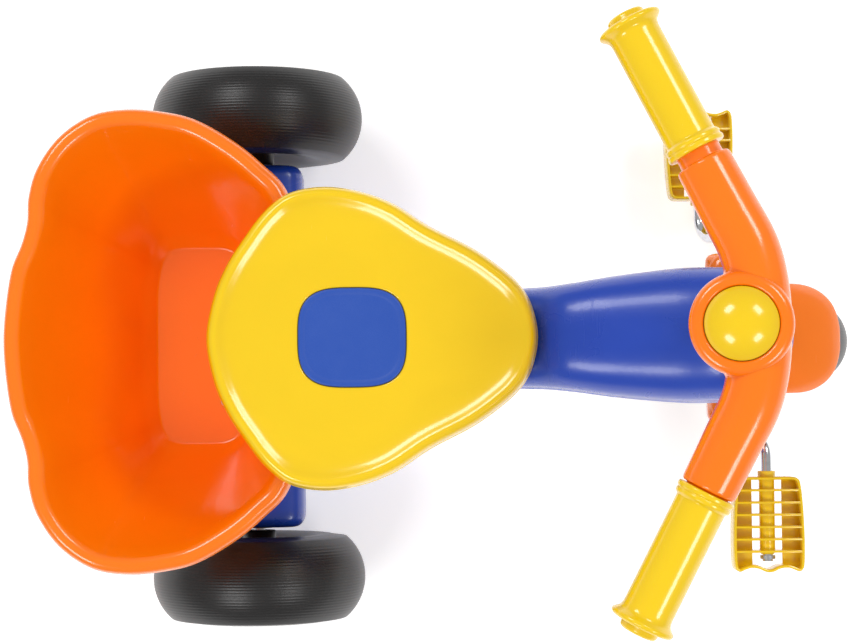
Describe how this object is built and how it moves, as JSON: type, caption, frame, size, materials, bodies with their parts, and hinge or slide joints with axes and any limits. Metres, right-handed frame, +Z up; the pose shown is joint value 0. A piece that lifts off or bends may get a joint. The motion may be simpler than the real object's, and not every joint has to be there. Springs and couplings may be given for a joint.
{
  "type": "children's tricycle",
  "caption": "Children's pedal tricycle with moulded frame, bucket saddle, rear carry basket, front-wheel crank with pedals, and handlebar with horn button.",
  "frame": {"origin": "on the ground under the centre of the bounding box", "axes": "+X forward, +Y to the rider's left, +Z up"},
  "size_m": [0.706, 0.48, 0.5038],
  "materials": {
    "frame_plastic": "smooth blow-moulded gloss",
    "badge_plastic": "fine satin moulded",
    "orange_plastic": "high gloss moulded",
    "yellow_plastic": "high gloss moulded",
    "tyre_plastic": "satin blow-moulded with fine tread ribs",
    "bearing_plastic": "plain moulded",
    "steel": "zinc plated",
    "chrome_rod": "bright plated",
    "bellows_rubber": "matt soft"
  },
  "bodies": {
    "frame": {"main_body": "frame_plastic", "head_bush_upper": "bearing_plastic", "head_bush_lower": "bearing_plastic", "rear_axle": "steel", "rear_axle_bushes": "bearing_plastic", "rear_axle_push_nuts": "steel", "seat": "yellow_plastic", "seat_badge": "badge_plastic", "seat_screws": "steel", "basket": "orange_plastic", "basket_screws": "steel"},
    "steering": {"fork": "orange_plastic", "handlebar": "orange_plastic", "steering_stem": "steel", "handlebar_bolt": "steel", "handlebar_nut": "steel", "fork_bolt": "steel", "fork_nut": "steel", "grip_left": "yellow_plastic", "grip_right": "yellow_plastic", "horn_bellows": "bellows_rubber", "axle_clamp_left": "orange_plastic", "axle_clamp_right": "orange_plastic", "axle_clamp_screws": "steel"},
    "button": {"horn_button": "yellow_plastic"},
    "front_wheel_set": {"front_wheel": "tyre_plastic", "front_hub_left": "yellow_plastic", "front_hub_right": "yellow_plastic", "crank_rod": "chrome_rod", "crank_drive_pin": "steel", "pedal_push_nuts": "steel"},
    "left_pedal": {"pedal_left": "yellow_plastic"},
    "right_pedal": {"pedal_right": "yellow_plastic"},
    "left_wheel": {"rear_wheel_left": "tyre_plastic", "rear_bush_left": "bearing_plastic", "rear_hub_cap_left": "yellow_plastic"},
    "right_wheel": {"rear_wheel_right": "tyre_plastic", "rear_bush_right": "bearing_plastic", "rear_hub_cap_right": "yellow_plastic"}
  },
  "joints": [
    {"name": "steering_turn", "type": "hinge", "parent": "frame", "child": "steering", "pos_m": [0.253, 0, 0.1], "axis": [-0.1305, 0, 0.9914], "range_deg": [-40, 40]},
    {"name": "horn_press", "type": "slide", "parent": "steering", "child": "button", "axis": [-0.1305, 0, 0.9914], "range_m": [-0.006, 0], "stiffness_N_per_m": 400, "springref_m": 0.003, "deforming": ["horn_bellows"]},
    {"name": "front_wheel_turn", "type": "hinge", "parent": "steering", "child": "front_wheel_set", "pos_m": [0.253, 0, 0.1], "axis": [0, 1, 0], "continuous": true},
    {"name": "left_pedal_turn", "type": "hinge", "parent": "front_wheel_set", "child": "left_pedal", "pos_m": [0.23187, 0.17, 0.05468], "axis": [0, 1, 0], "continuous": true},
    {"name": "right_pedal_turn", "type": "hinge", "parent": "front_wheel_set", "child": "right_pedal", "pos_m": [0.27413, -0.156, 0.14532], "axis": [0, 1, 0], "continuous": true},
    {"name": "left_wheel_turn", "type": "hinge", "parent": "frame", "child": "left_wheel", "pos_m": [-0.165, 0.2025, 0.093], "axis": [0, 1, 0], "continuous": true},
    {"name": "right_wheel_turn", "type": "hinge", "parent": "frame", "child": "right_wheel", "pos_m": [-0.165, -0.2025, 0.093], "axis": [0, 1, 0], "continuous": true}
  ]
}
